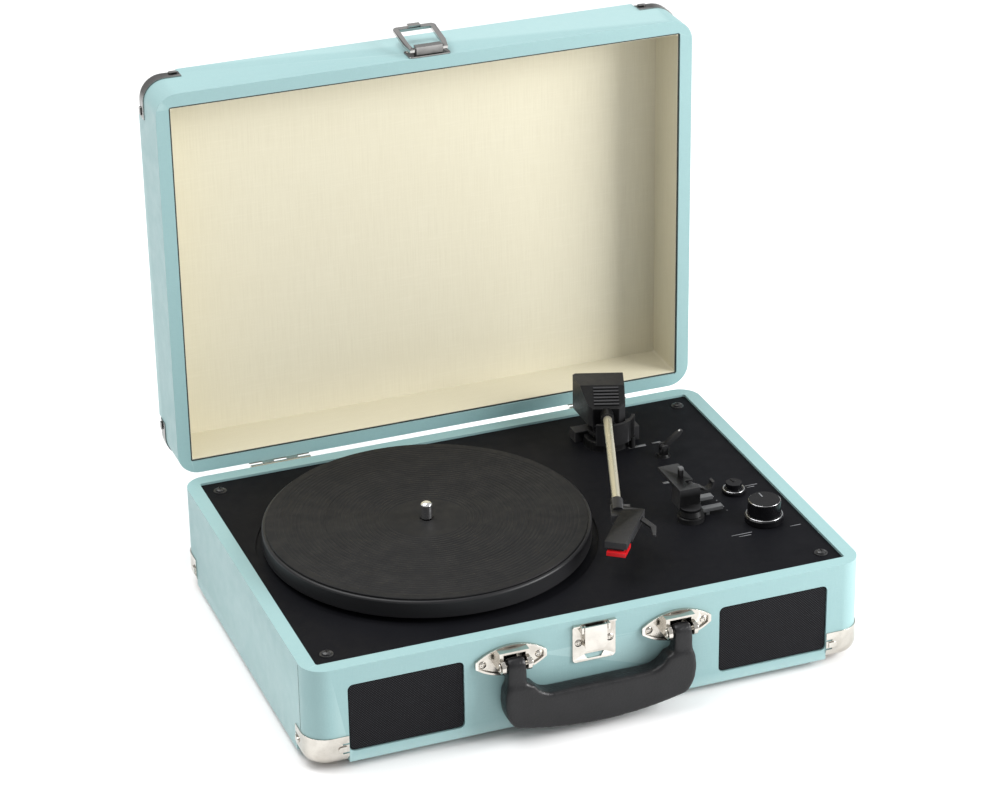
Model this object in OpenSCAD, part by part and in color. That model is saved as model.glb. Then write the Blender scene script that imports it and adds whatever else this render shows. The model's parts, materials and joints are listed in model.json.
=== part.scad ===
// Suitcase record player, lid open, drawn at its real size in millimetres.
// X runs across the case, Y towards the hinges and Z up from the table.

/* [Case] */
// Width of the case
case_w = 350; // [345:1:360]
// Depth of the case from front to back
case_d = 255; // [252:1:262]
// Height of the lower half without its feet
base_h = 63; // [62:1:70]
// Height of the rubber feet
foot_h = 5; // [4:0.5:6]
// Thickness of the board walls
wall = 9; // [8:0.5:9.5]
// Radius of the upright corners
corner_r = 14; // [13:0.5:16]

/* [Lid] */
// Height of the closed lid
lid_h = 41; // [41:1:48]
// Thickness of the lid walls with their lining
lid_wall = 9.6; // [9.4:0.1:10]
// Angle between the closed and the open lid
lid_open_angle = 90; // [85:1:95]

/* [Turntable] */
// Radius of the platter
platter_r = 100; // [95:1:104]
// Height of the mat's top above the case rim
mat_rise = 13.4; // [13:0.2:14]
// Radius of the centre spindle
spindle_r = 3.55; // [3.5:0.01:3.6]
// Height of the spindle tip above the mat
spindle_rise = 11; // [9:0.5:12]

/* [Tonearm] */
// Angle of the arm tube, from straight forwards to the left
arm_angle = 19.7; // [15:0.1:22]
// Height of the arm tube above the case rim
arm_rise = 22; // [21.5:0.1:22.5]
// Radius of the arm tube
tube_r = 2.75; // [2.5:0.05:3]

/* [Hardware] */
// Width of each handle plate
plate_w = 44; // [42:1:46]
// Distance of each handle plate from the middle
plate_x = 52; // [50:0.5:54]
// Width of the latch plate
latch_w = 27; // [26:0.5:30]
// Thickness of the sheet-metal corner caps
cap_t = 0.7; // [0.5:0.1:0.9]
// Radius of the volume knob
volume_r = 12; // [10:0.5:12.5]

/* [Hidden] */
$fn = 64;

eps = 0.02;              // overlap that lets two cuts pass each other
fit_gap = 0.3;           // free gap between pieces that move past each other
run_gap = 0.05;          // radial clearance of a pin or shaft in its bore

// Case heights and faces
front_y = -case_d / 2;
rear_y = case_d / 2;
rim_z = foot_h + base_h;
floor_t = 4;
floor_z = foot_h + floor_t;
deck_t = 3;
deck_z = rim_z - 1.5;
deck_under_z = deck_z - deck_t;
inner_w = case_w - 2 * wall;
inner_r = 1.5;           // inside corners of the boards and the lining
inner_d = case_d - 2 * wall;

// Deck screws and the blocks that they bite into
deck_screw_x = case_w / 2 - 19;
deck_screw_y = case_d / 2 - 20.5;
block_w = 20;

// Corner caps
cap_edge_r = 7;
cap_ease = 0.15;         // free depth under the round of a cap
cap_lip = 9;
base_cap_h = 18;
lid_cap_h = 14;
base_cap_reach = 24;
lid_cap_reach = 24.5;

// Speakers in the front wall
speaker_x = 115.5;
speaker_z = foot_h + 28.8;
speaker_w = 70;
speaker_h = 44;
speaker_corner_r = 3.5;
recess_d = 2.6;
grille_t = 2;
driver_r = 21;

// Hinges behind the rear wall
hinge_y = rear_y + 2.8;
hinge_z = rim_z - 2.7;
hinge_x = 109;
hinge_w = 40;
knuckles = 5;
knuckle_w = hinge_w / knuckles;
knuckle_r = 2.4;
hinge_pin_r = 1.2;
leaf_t = 1;
leaf_h = 22;
leaf_gap = 3.2;
lid_gap = fit_gap;

// Lid, drawn closed and then turned open
lid_z = rim_z + lid_gap;
lid_top_t = 4;
lining_t = 1.2;
lining_setback = 1;
lid_shell_wall = lid_wall - lining_t - 0.1;

// Latch plate and tongue on the front wall
latch_top_z = rim_z - 3.2;
latch_h = 25;
plate_t = 1;
tongue_w = 14;
tongue_pivot_z = latch_top_z - 2.6;
tongue_pivot_out = 2.6;
tongue_front_out = 4.4;
tongue_bottom_z = latch_top_z - 16.5;
tongue_stub_r = 1;

// Hasp on the lid
hasp_axis_z = lid_z + 4.5;
hasp_axis_out = 4;
hasp_len = 28.3;
hasp_half_w = 13.9;
hasp_bar = 3.6;
hasp_t = 1.8;
hasp_rod_r = 1.5;
hasp_rest_angle = 170;

// Handle
handle_pin_z = foot_h + 47;
handle_pin_out = 8.5;
handle_pin_r = 1.6;
plate_h = 19.5;
grip_out = 8.5;
grip_t = 13;
handle_half_w = 60;
grip_top_z = foot_h + 26.5;
grip_low_z = foot_h + 0.2;
grip_arch_r = 215;
grip_gap = 43;           // half the width of the finger opening
shoulder_z = handle_pin_z - 12.5;
neck_w = 12;

// Turntable
spindle_x = -57;
spindle_y = -1;
shaft_r = spindle_r - 0.55;
mat_t = 1.2;
mat_z = rim_z + mat_rise;
platter_top_z = mat_z - mat_t;
drum_r = 65;
pulley_r = 5;
pulley_distance = 82;
pulley_angle = 135;
pulley_x = spindle_x + pulley_distance * cos(pulley_angle);
pulley_y = spindle_y + pulley_distance * sin(pulley_angle);
belt_z = rim_z + 3.5;
belt_h = 4;
belt_t = 0.7;
motor_r = 17.5;
motor_h = 23;
motor_shaft_r = 1;

// Tonearm
pivot_x = 93;
pivot_y = 77;
arm_z = rim_z + arm_rise;
tube_start = 11;
tube_end = 129;
socket_start = 126;
socket_end = 140;
housing_w = 24;
housing_wing = 20.5;     // reach of the wide left side from the tube's axis
housing_front = 7;
housing_back = -36;
housing_low = -9;        // below the tube's axis
housing_top = 12.8;      // above the tube's axis
housing_brow = -9;       // where the top ends and the ribbed slope begins
housing_lip = 3.5;       // where that slope ends, above the tube's axis
housing_wall = 2;
cheek_in = 6.5;
cheek_out = 9;
arm_pin_r = 1.5;
yoke_shaft_r = 4;
headshell_angle = 17;    // turned in from the tube
shell_w = 13.4;
shell_len = 45;
housing_slope = atan((housing_top - housing_lip) / (housing_front - housing_brow));

// Cue lift
arc_in_r = 16;
arc_out_r = 18.2;
lever_x = 119;
lever_y = 45;
lever_z = rim_z + 5;
lever_angle = 38;

// Arm rest
rest_x = 101;
rest_y = -38.5;
rest_w = 13.6;
rest_front_y = -37.2;
rest_len = 34;
parked_angle = 2.4;      // turned out to the right of straight forwards
rest_top_z = arm_z - tube_r - 0.45;
hook_y = -21;
hook_x = pivot_x + (pivot_y - hook_y) * tan(parked_angle) + tube_r + 0.5;
cradle_y = -29;
cradle_x = pivot_x + (pivot_y - cradle_y) * tan(parked_angle);
clip_w = 5;
clip_x = 105.5;
clip_z = arm_z - 5.6;
clip_open_angle = 147;

// Controls on the deck
volume_x = 142;
volume_y = -56.5;
function_x = 140;
function_y = -16.4;
knob_stem_r = 3;
slider_w = 4.4;
slot_x = 113.5;
speed_y = -35.3;
speed_travel = 8;
autostop_y = -21.2;
autostop_travel = 5;

// Rear sockets
jack_x = 100;
jack_z = 32;
dc_x = jack_x - 22;
rca_x = jack_x - 3;
rca_pitch = 14;
phone_x = jack_x + 24;
rca_r = 4.15;
phone_r = 1.8;

// The whole object is centred front to back on its open outline
handle_front_y = front_y - grip_out - grip_t / 2;
lid_back_y = hinge_y + (lid_z - hinge_z) + lid_h + cap_t;
centre_y = (handle_front_y + lid_back_y) / 2;

module in_frame() translate([0, -centre_y, 0]) children();

// Turns what is drawn on the closed lid to the open lid's place
module on_open_lid()
    translate([0, hinge_y, hinge_z])
        rotate([-lid_open_angle, 0, 0])
            translate([0, -hinge_y, -hinge_z])
                children();

// Local Z points out of the front wall, local Y up
module on_front(x, z) translate([x, front_y, z]) rotate([90, 0, 0]) children();

// Local Z points out of the rear wall, local Y down
module on_rear(x, z) translate([x, rear_y, z]) rotate([-90, 0, 0]) children();

// Local X runs along the arm tube from its pivot, local Z is up
module on_arm()
    translate([pivot_x, pivot_y, arm_z])
        rotate([0, 0, -90 - arm_angle])
            children();

module rounded_rect(w, d, r) {
    square([w - 2 * r, d], center = true);
    square([w, d - 2 * r], center = true);
    for (sx = [-1, 1], sy = [-1, 1])
        translate([sx * (w / 2 - r), sy * (d / 2 - r)]) circle(r);
}

module rounded_box(w, d, h, r) linear_extrude(h) rounded_rect(w, d, r);

module ring(outer, inner, h) difference() {
    cylinder(r = outer, h = h);
    translate([0, 0, -1]) cylinder(r = inner, h = h + 2);
}

// Pan-head cross screw with its head on the plane z = 0
module pan_screw(thread_r, head_r, head_h, length) difference() {
    union() {
        intersection() {
            cylinder(r = head_r, h = head_h);
            translate([0, 0, -head_r * 1.2]) sphere(head_r * 1.2 + head_h);
        }
        translate([0, 0, -length]) cylinder(r = thread_r, h = length + eps);
    }
    for (a = [0, 90]) rotate([0, 0, a])
        translate([-head_r * 0.55, -head_r * 0.13, head_h * 0.45])
            cube([head_r * 1.1, head_r * 0.26, head_h]);
}

// ---- Corner caps and the corners that they cover ----

function arc(cx, cy, r, from, to, steps) =
    [for (i = [0:steps]) let (a = from + (to - from) * i / steps)
        [cx + r * cos(a), cy + r * sin(a)]];

// Section of the pressed sheet: up the wall, round the edge and under the board
module cap_section(h) {
    cx = corner_r - cap_edge_r;
    polygon(concat(
        [[corner_r - cap_lip, -cap_t]],
        arc(cx, cap_edge_r, cap_edge_r + cap_t, -90, 0, 8),
        [[corner_r + cap_t, h], [corner_r, h]],
        arc(cx, cap_edge_r, cap_edge_r, 0, -90, 8),
        [[corner_r - cap_lip, 0]]));
}

// Sweeps a section round a corner and a little way along both its sides
module round_corner(straight) {
    rotate_extrude(angle = 90) children();
    for (side = [0, 1]) mirror([side, -side, 0]) rotate([90, 0, 0])
        linear_extrude(straight) children();
}

// Pressed tab beside its two pierced slots, on the cap's end
module cap_tab(h) {
    translate([0, 0, h * 0.55]) rotate([0, 90, 0])
        cylinder(r = 1.7, h = 0.8);
    translate([0, -3.4, h * 0.55 - 1.7]) cube([0.8, 3.4, 3.4]);
}

module corner_cap(h, reach) difference() {
    union() {
        round_corner(reach - corner_r) cap_section(h);
        translate([corner_r + cap_t - eps, corner_r - reach + 5, 0]) cap_tab(h);
        translate([corner_r - reach + 5, corner_r + cap_t - eps, 0])
            rotate([0, 0, 90]) mirror([0, 1, 0]) cap_tab(h);
    }
    for (side = [0, 1]) mirror([side, -side, 0])
        for (dz = [-2.9, 2.9])
            translate([corner_r - 1, corner_r - reach - 1, h * 0.55 + dz - 0.5])
                cube([3, 5, 1]);
}

module at_corners(w, d) for (sx = [0, 1], sy = [0, 1])
    mirror([sx, 0, 0]) mirror([0, sy, 0])
        translate([w / 2 - corner_r, d / 2 - corner_r, 0]) children();

// Takes the board's lower edge away under the round of each cap
module corner_relief(reach) at_corners(case_w, case_d)
    round_corner(reach - corner_r) difference() {
        translate([corner_r - cap_edge_r, -1]) square([cap_edge_r + 1, cap_edge_r + 1]);
        translate([corner_r - cap_edge_r, cap_edge_r]) circle(cap_edge_r - cap_ease);
    }

module base_corner_caps() in_frame() color("gainsboro")
    translate([0, 0, foot_h]) at_corners(case_w, case_d)
        corner_cap(base_cap_h, base_cap_reach);

module lid_corner_caps() in_frame() color("dimgray") on_open_lid()
    translate([0, 0, lid_z + lid_h]) mirror([0, 0, 1]) at_corners(case_w, case_d)
        corner_cap(lid_cap_h, lid_cap_reach);

// ---- Lower half of the case ----

module base_shell() in_frame() color("paleturquoise") difference() {
    union() {
        difference() {
            translate([0, 0, foot_h]) rounded_box(case_w, case_d, base_h, corner_r);
            translate([0, 0, foot_h - 1])
                rounded_box(inner_w, inner_d, base_h + 2, inner_r);
        }
        for (sx = [-1, 1], sy = [-1, 1])
            translate([sx * (inner_w / 2 - block_w / 2 + 1), sy * (inner_d / 2 - block_w / 2 + 1),
                (floor_z + deck_under_z) / 2])
                cube([block_w, block_w, deck_under_z - floor_z], center = true);
    }
    translate([0, 0, foot_h]) corner_relief(base_cap_reach);
    for (side = [-1, 1]) on_front(side * speaker_x, speaker_z) {
        translate([0, 0, -recess_d])
            rounded_box(speaker_w + 0.4, speaker_h + 0.4, recess_d + 1, speaker_corner_r);
        translate([0, 0, -wall - 1]) cylinder(r = driver_r, h = wall + 2);
    }
    for (sx = [-1, 1], sy = [-1, 1])
        translate([sx * deck_screw_x, sy * deck_screw_y, deck_under_z - 12])
            cylinder(r = 1.55, h = 13);
    case_screw_places() translate([0, 0, -9]) cylinder(r = 1.3, h = 10);
    on_rear(jack_x, jack_z) translate([0, 0, -wall - 1])
        rounded_box(56, 16, wall + 2, 2);
}

module floor_panel() in_frame() color("saddlebrown") difference() {
    translate([0, 0, foot_h])
        rounded_box(inner_w - 0.1, inner_d - 0.1, floor_t, inner_r);
    for (i = [-4:4])
        translate([i * 8, 40, foot_h - 1]) cylinder(r = 1.6, h = floor_t + 2);
}

module rubber_feet() in_frame() color("black")
    for (sx = [-1, 1], sy = [-1, 1]) translate([sx * 143, sy * 113.5, 0])
        cylinder(r1 = 7, r2 = 8, h = foot_h);

// ---- Speakers ----

module grille(side) on_front(side * speaker_x, speaker_z)
    translate([0, 0, -recess_d]) rounded_box(speaker_w, speaker_h, grille_t, speaker_corner_r);

module speaker_grille_left() in_frame() color("black") grille(-1);
module speaker_grille_right() in_frame() color("black") grille(1);

module speaker_drivers() in_frame() color("dimgray")
    for (side = [-1, 1]) on_front(side * speaker_x, speaker_z)
        translate([0, 0, -wall - 24]) {
            rotate_extrude() polygon([[0, 0], [14, 0], [14, 8], [11, 9], [20, 22], [25, 22],
                [25, 24], [19, 24], [9, 14], [0, 14]]);
        }

// ---- Deck ----

module deck_plate() in_frame() color("black") difference() {
    translate([0, 0, deck_under_z])
        rounded_box(inner_w - 0.2, inner_d - 0.2, deck_t, inner_r);
    translate([spindle_x, spindle_y, deck_z - 0.8]) cylinder(r = platter_r + 4, h = 2);
    translate([spindle_x, spindle_y, deck_under_z - 1]) cylinder(r = 6.05, h = deck_t + 2);
    translate([pulley_x, pulley_y, deck_under_z - 1]) cylinder(r = 4, h = deck_t + 2);
    translate([pivot_x, pivot_y, deck_under_z - 1]) cylinder(r = 7.05, h = deck_t + 2);
    translate([volume_x, volume_y, deck_under_z - 1]) cylinder(r = 4.05, h = deck_t + 2);
    translate([function_x, function_y, deck_under_z - 1]) cylinder(r = 4.05, h = deck_t + 2);
    lift_stem_place() translate([0, 0, deck_under_z - 1]) cylinder(r = 2.4, h = deck_t + 2);
    for (s = [[speed_y, speed_travel], [autostop_y, autostop_travel]])
        translate([slot_x - 1.6, s[0] - 1.8, deck_under_z - 1])
            cube([3.2, s[1] + 3.6, deck_t + 2]);
    for (sx = [-1, 1], sy = [-1, 1])
        translate([sx * deck_screw_x, sy * deck_screw_y, deck_under_z - 1])
            cylinder(r = 1.6, h = deck_t + 2);
}

module deck_screws() in_frame() color("black")
    for (sx = [-1, 1], sy = [-1, 1]) translate([sx * deck_screw_x, sy * deck_screw_y, deck_z]) {
        difference() {
            cylinder(r = 4, h = 0.6);
            translate([0, 0, -1]) cylinder(r = 1.55, h = 3);
        }
        translate([0, 0, 0.6]) pan_screw(1.5, 2.8, 1.6, 12);
    }

// ---- Screws of the front and rear hardware ----

module case_screw_places() {
    for (side = [-1, 1]) on_front(side * 9.8, latch_top_z - 12) translate([0, 0, plate_t])
        children();
    for (side = [-1, 1], end = [-1, 1])
        on_front(side * plate_x + end * 17.4, handle_pin_z - 0.5) translate([0, 0, plate_t])
            children();
    for (side = [-1, 1], end = [-1, 1])
        on_rear(side * hinge_x + end * 13, hinge_z - 14) translate([0, 0, leaf_t]) children();
    for (end = [-1, 1]) on_rear(jack_x + end * 31, jack_z) translate([0, 0, plate_t])
        children();
}

module case_screws() in_frame() color("silver") case_screw_places()
    pan_screw(1.25, 2.3, 1.1, 7);

module lid_screw_places() {
    for (end = [-1, 1]) translate([end * 10.2, front_y, hasp_axis_z + 5.8]) rotate([90, 0, 0])
        translate([0, 0, plate_t]) children();
    for (side = [-1, 1], end = [-1, 1])
        translate([side * hinge_x + end * 13, rear_y, hinge_z + 14]) rotate([-90, 0, 0])
            translate([0, 0, leaf_t]) children();
}

module lid_screws() in_frame() color("silver") on_open_lid() lid_screw_places()
    pan_screw(1.25, 2.1, 1, 7);

// ---- Latch ----

module latch_plate() in_frame() color("silver") difference() {
    union() {
        on_front(0, latch_top_z - latch_h / 2) difference() {
            rounded_box(latch_w, latch_h, plate_t, 2.5);
            translate([0, 0, -1]) linear_extrude(plate_t + 2) polygon([[-6.2, -7.6],
                [6.2, -7.6], [4.4, -11], [-4.4, -11]]);
        }
        for (side = [-1, 1]) translate([side * 8.3 - 0.7, front_y - plate_t - 3.4, tongue_pivot_z - 2])
            cube([1.4, 3.4 + eps, 4]);
        for (side = [-1, 1]) translate([side * 11 - 2.5, front_y - 2.6, latch_top_z - 1])
            cube([5, 2.6, 1]);
    }
    translate([-15, front_y - tongue_pivot_out, tongue_pivot_z]) rotate([0, 90, 0])
        cylinder(r = tongue_stub_r + run_gap, h = 30);
    case_screw_places() translate([0, 0, -3]) cylinder(r = 1.3, h = 4);
}

module latch_tongue() in_frame() color("gainsboro") {
    translate([0, front_y - tongue_front_out + 1, 0]) rotate([90, 0, 0])
        linear_extrude(1) {
            translate([-tongue_w / 2, tongue_bottom_z + 3])
                square([tongue_w, tongue_pivot_z + 1.8 - tongue_bottom_z - 3]);
            translate([-tongue_w / 2 + 3, tongue_bottom_z]) square([tongue_w - 6, 4]);
            for (side = [-1, 1]) translate([side * (tongue_w / 2 - 3), tongue_bottom_z + 3])
                circle(3);
        }
    for (side = [-1, 1]) {
        translate([side * (tongue_w / 2 - 0.5) - 0.5, front_y - tongue_front_out + 0.5,
            tongue_bottom_z + 5])
            cube([1, 2.6, tongue_pivot_z + 1.8 - tongue_bottom_z - 5]);
        translate([side * (tongue_w / 2 + 0.6), front_y - tongue_pivot_out, tongue_pivot_z])
            rotate([0, 90, 0]) cylinder(r = tongue_stub_r, h = 3.4, center = true);
    }
}

// ---- Handle ----

// Pointed oval outline, two arcs that meet at the screw ends
module almond(w, h) {
    arc_r = (w * w / 4 + h * h / 4) / h;
    intersection() {
        translate([0, arc_r - h / 2]) circle(arc_r, $fn = 128);
        translate([0, h / 2 - arc_r]) circle(arc_r, $fn = 128);
        square([w - 5, h + 2], center = true);
    }
}

module handle_plate(side) on_front(side * plate_x, handle_pin_z) difference() {
    union() {
        linear_extrude(plate_t) almond(plate_w + 5, plate_h);
        linear_extrude(plate_t + 1.2) difference() {
            almond(plate_w + 5, plate_h);
            almond(plate_w + 1, plate_h - 2.4);
        }
        for (cheek = [-1, 1]) translate([cheek * 8 - 1.2, 0, 0]) {
            translate([0, -4, 0]) cube([2.4, 8, handle_pin_out + 1]);
            translate([0, 0, handle_pin_out]) rotate([0, 90, 0]) cylinder(r = 4, h = 2.4);
        }
        translate([-9.2, 6.9, 0]) cube([18.4, 1.4, handle_pin_out - 1]);
        for (cheek = [-1, 1]) translate([cheek * 8 - 1.2, 3, 0])
            cube([2.4, 5.3, handle_pin_out - 1]);
    }
    translate([-15, 0, handle_pin_out]) rotate([0, 90, 0])
        cylinder(r = handle_pin_r + 0.01, h = 30);
    for (end = [-1, 1]) translate([end * 17.4, -0.5, -1]) cylinder(r = 1.3, h = 5);
}

module handle_plate_left() in_frame() color("gainsboro") handle_plate(-1);
module handle_plate_right() in_frame() color("gainsboro") handle_plate(1);

module handle_pins() in_frame() color("silver") for (side = [-1, 1])
    translate([side * plate_x, front_y - handle_pin_out, handle_pin_z]) rotate([0, 90, 0]) {
        cylinder(r = handle_pin_r, h = 19, center = true);
        for (end = [-1, 1]) translate([0, 0, end * 9.9]) cylinder(r = 2.6, h = 1, center = true);
    }

// Outline of the grip and its two legs, seen from the front
module handle_outline() difference() {
    union() {
        intersection() {
            translate([0, grip_low_z + 24]) rounded_rect(2 * handle_half_w, 48, 22);
            translate([0, grip_low_z + grip_arch_r]) circle(grip_arch_r, $fn = 180);
            translate([-80, 0]) square([160, shoulder_z]);
        }
        for (side = [-1, 1]) translate([side * plate_x - neck_w / 2, grip_top_z])
            square([neck_w, handle_pin_z - grip_top_z]);
    }
    translate([0, grip_top_z + 20]) rounded_rect(2 * grip_gap, 40, 13);
    translate([-grip_gap, grip_top_z + 20]) square([2 * grip_gap, 30]);
}

module handle() in_frame() color("black") difference() {
    union() {
        translate([0, front_y - grip_out + grip_t / 2, 0]) rotate([90, 0, 0])
            linear_extrude(grip_t) intersection() {
                handle_outline();
                translate([-80, 0]) square([160, shoulder_z]);
            }
        translate([0, front_y - grip_out + 5, 0]) rotate([90, 0, 0])
            linear_extrude(10) handle_outline();
        for (side = [-1, 1]) translate([side * plate_x, front_y - grip_out, handle_pin_z])
            rotate([0, 90, 0]) cylinder(r = 5, h = neck_w, center = true);
    }
    for (side = [-1, 1]) translate([side * plate_x, front_y - grip_out, handle_pin_z])
        rotate([0, 90, 0]) cylinder(r = handle_pin_r + run_gap, h = 20, center = true);
}

// ---- Hinges ----

// One leaf drawn flat on the rear wall, its knuckle axis at the origin
module hinge_leaf(first, direction) {
    difference() {
        union() {
            translate([-hinge_w / 2, -2.8, 0])
                mirror([0, 0, direction > 0 ? 0 : 1]) translate([0, 0, leaf_gap])
                    cube([hinge_w, leaf_t, leaf_h - leaf_gap]);
            for (i = [first:2:knuckles - 1])
                translate([-hinge_w / 2 + i * knuckle_w + fit_gap / 2, 0, 0]) {
                    rotate([0, 90, 0]) cylinder(r = knuckle_r, h = knuckle_w - fit_gap);
                    translate([0, -2.8, 0]) mirror([0, 0, direction > 0 ? 0 : 1])
                        cube([knuckle_w - fit_gap, leaf_t, leaf_gap + eps]);
                    translate([0, -2.8, -knuckle_r * (direction > 0 ? 0 : 1)])
                        cube([knuckle_w - fit_gap, 2.8, knuckle_r]);
                }
        }
        translate([-hinge_w, 0, 0]) rotate([0, 90, 0])
            cylinder(r = hinge_pin_r + (direction > 0 ? run_gap : 0.01), h = 2 * hinge_w);
    }
}

module hinge_base_leaves() in_frame() color("silver") difference() {
    for (side = [-1, 1]) translate([side * hinge_x, hinge_y, hinge_z]) hinge_leaf(0, -1);
    case_screw_places() translate([0, 0, -3]) cylinder(r = 1.3, h = 4);
}

module hinge_lid_leaves() in_frame() color("silver") on_open_lid() difference() {
    for (side = [-1, 1]) translate([side * hinge_x, hinge_y, hinge_z]) hinge_leaf(1, 1);
    lid_screw_places() translate([0, 0, -3]) cylinder(r = 1.3, h = 4);
}

module hinge_pins() in_frame() color("silver")
    for (side = [-1, 1]) translate([side * hinge_x, hinge_y, hinge_z]) rotate([0, 90, 0])
        cylinder(r = hinge_pin_r, h = hinge_w - fit_gap, center = true);

// ---- Lid ----

module lid_shell() in_frame() color("paleturquoise") on_open_lid() difference() {
    translate([0, 0, lid_z]) rounded_box(case_w, case_d, lid_h, corner_r);
    translate([0, 0, lid_z - 1])
        rounded_box(case_w - 2 * lid_shell_wall, case_d - 2 * lid_shell_wall,
            lid_h - lid_top_t + 1, inner_r);
    translate([0, 0, lid_z + lid_h]) mirror([0, 0, 1]) corner_relief(lid_cap_reach);
    lid_screw_places() translate([0, 0, -9]) cylinder(r = 1.3, h = 10);
}

module lid_lining() in_frame() color("wheat") on_open_lid() difference() {
    translate([0, 0, lid_z + lining_setback])
        rounded_box(case_w - 2 * lid_shell_wall - 0.2, case_d - 2 * lid_shell_wall - 0.2,
            lid_h - lid_top_t - lining_setback - 0.1, inner_r);
    translate([0, 0, lid_z])
        rounded_box(case_w - 2 * lid_wall, case_d - 2 * lid_wall,
            lid_h - lid_top_t - 0.1 - lining_t, inner_r);
}

module hasp_bracket() in_frame() color("gray") on_open_lid() difference() {
    union() {
        translate([0, front_y, hasp_axis_z + 2.2]) rotate([90, 0, 0])
            rounded_box(27, 12, plate_t, 1.5);
        translate([-8.5, front_y - hasp_axis_out - 2.4, hasp_axis_z - 2.6])
            cube([17, hasp_axis_out + 2.4 - plate_t + eps, 5.4]);
    }
    translate([-20, front_y - hasp_axis_out, hasp_axis_z]) rotate([0, 90, 0])
        cylinder(r = hasp_rod_r + run_gap, h = 40);
    lid_screw_places() translate([0, 0, -3]) cylinder(r = 1.3, h = 4);
}

// Loop outline hanging down from its rod, the rod's axis along X
module hasp_outline() difference() {
    union() {
        translate([-hasp_half_w, -hasp_len + 3]) square([2 * hasp_half_w, hasp_len - 10]);
        translate([-hasp_half_w + 3, -hasp_len]) square([2 * hasp_half_w - 6, 4]);
        for (side = [-1, 1]) translate([side * (hasp_half_w - 3), -hasp_len + 3]) circle(3);
        polygon([[-hasp_half_w, -7 - eps], [hasp_half_w, -7 - eps],
            [hasp_half_w - 1.6, 1.6], [-hasp_half_w + 1.6, 1.6]]);
    }
    translate([-hasp_half_w + hasp_bar, -hasp_len + hasp_bar])
        square([2 * (hasp_half_w - hasp_bar), hasp_len - hasp_bar - 7]);
    polygon([[-hasp_half_w + hasp_bar, -7 - 2 * eps], [hasp_half_w - hasp_bar, -7 - 2 * eps],
        [9.2, 2], [-9.2, 2]]);
}

module hasp_loop() in_frame() color("gray") on_open_lid()
    translate([0, front_y - hasp_axis_out, hasp_axis_z]) rotate([-hasp_rest_angle + 360, 0, 0])
        mirror([0, 1, 0]) {
            translate([0, hasp_t / 2, 0]) rotate([90, 0, 0]) linear_extrude(hasp_t)
                hasp_outline();
            rotate([0, 90, 0]) cylinder(r = hasp_rod_r, h = 20, center = true);
            translate([-4, -hasp_t / 2 - 1.2, -hasp_len - 0.6]) cube([8, 1.2 + eps, 3.6]);
        }

// ---- Platter and its drive ----

module at_spindle() translate([spindle_x, spindle_y, 0]) children();

module platter_bearing() in_frame() color("goldenrod") at_spindle() rotate_extrude()
    polygon([[0, rim_z - 18], [6, rim_z - 18], [6, deck_z - 0.8], [9, deck_z - 0.8],
        [9, deck_z + 0.4], [shaft_r + run_gap, deck_z + 0.4],
        [shaft_r + run_gap, rim_z - 16], [0, rim_z - 16]]);

module spindle() in_frame() color("silver") at_spindle() {
    translate([0, 0, rim_z - 15.6]) cylinder(r = shaft_r, h = mat_z - rim_z + 16);
    translate([0, 0, mat_z + 0.4]) cylinder(r = spindle_r, h = spindle_rise - 3);
    translate([0, 0, mat_z + spindle_rise - 2.6]) rotate_extrude() intersection() {
        square([spindle_r, 2.6]);
        translate([0, -4.4]) circle(7);
        translate([0, -1.6]) circle(4.4);
    }
}

module platter() in_frame() color("dimgray") at_spindle() rotate_extrude($fn = 180)
    polygon([[shaft_r, rim_z - 0.2], [10, rim_z - 0.2], [12, platter_top_z - 2.5],
        [drum_r - 3, platter_top_z - 2.5], [drum_r - 3, rim_z + 1.2], [drum_r, rim_z + 1.2],
        [drum_r, platter_top_z - 2.5], [platter_r - 3, platter_top_z - 2.5],
        [platter_r - 3, rim_z + 1.2], [platter_r, rim_z + 1.2], [platter_r, platter_top_z - 1],
        [platter_r - 1, platter_top_z], [shaft_r, platter_top_z]]);

module platter_mat() in_frame() color("black") at_spindle()
    translate([0, 0, platter_top_z]) difference() {
        cylinder(r = platter_r - 2, h = mat_t, $fn = 180);
        translate([0, 0, -1]) cylinder(r = spindle_r + 0.2, h = mat_t + 2);
    }

module motor() in_frame() color("silver") translate([pulley_x, pulley_y, deck_under_z - motor_h])
    difference() {
        cylinder(r = motor_r, h = motor_h);
        translate([0, 0, 3]) cylinder(r = motor_shaft_r + run_gap, h = motor_h);
    }

module motor_pulley() in_frame() color("goldenrod") translate([pulley_x, pulley_y, 0]) {
    translate([0, 0, deck_under_z - motor_h + 3.5])
        cylinder(r = motor_shaft_r, h = belt_z - deck_under_z + motor_h - 4);
    translate([0, 0, belt_z - 1.3]) cylinder(r = pulley_r + 1.2, h = 0.8);
    translate([0, 0, belt_z - 0.5 - eps]) cylinder(r = pulley_r, h = belt_h + 1 + 2 * eps);
    translate([0, 0, belt_z + belt_h + 0.5]) cylinder(r = pulley_r + 1.2, h = 0.8);
}

// Two arcs joined by their outer tangents, round the drum and the pulley
module belt_outline(gap) {
    lean = acos((drum_r - pulley_r) / pulley_distance);
    polygon(concat(arc(0, 0, drum_r + gap, lean, 360 - lean, 90),
        arc(pulley_distance, 0, pulley_r + gap, -lean, lean, 16)));
}

module drive_belt() in_frame() color("black") at_spindle()
    translate([0, 0, belt_z]) rotate([0, 0, pulley_angle]) linear_extrude(belt_h)
        difference() {
            belt_outline(fit_gap + belt_t);
            belt_outline(fit_gap);
        }

// ---- Tonearm ----

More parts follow.
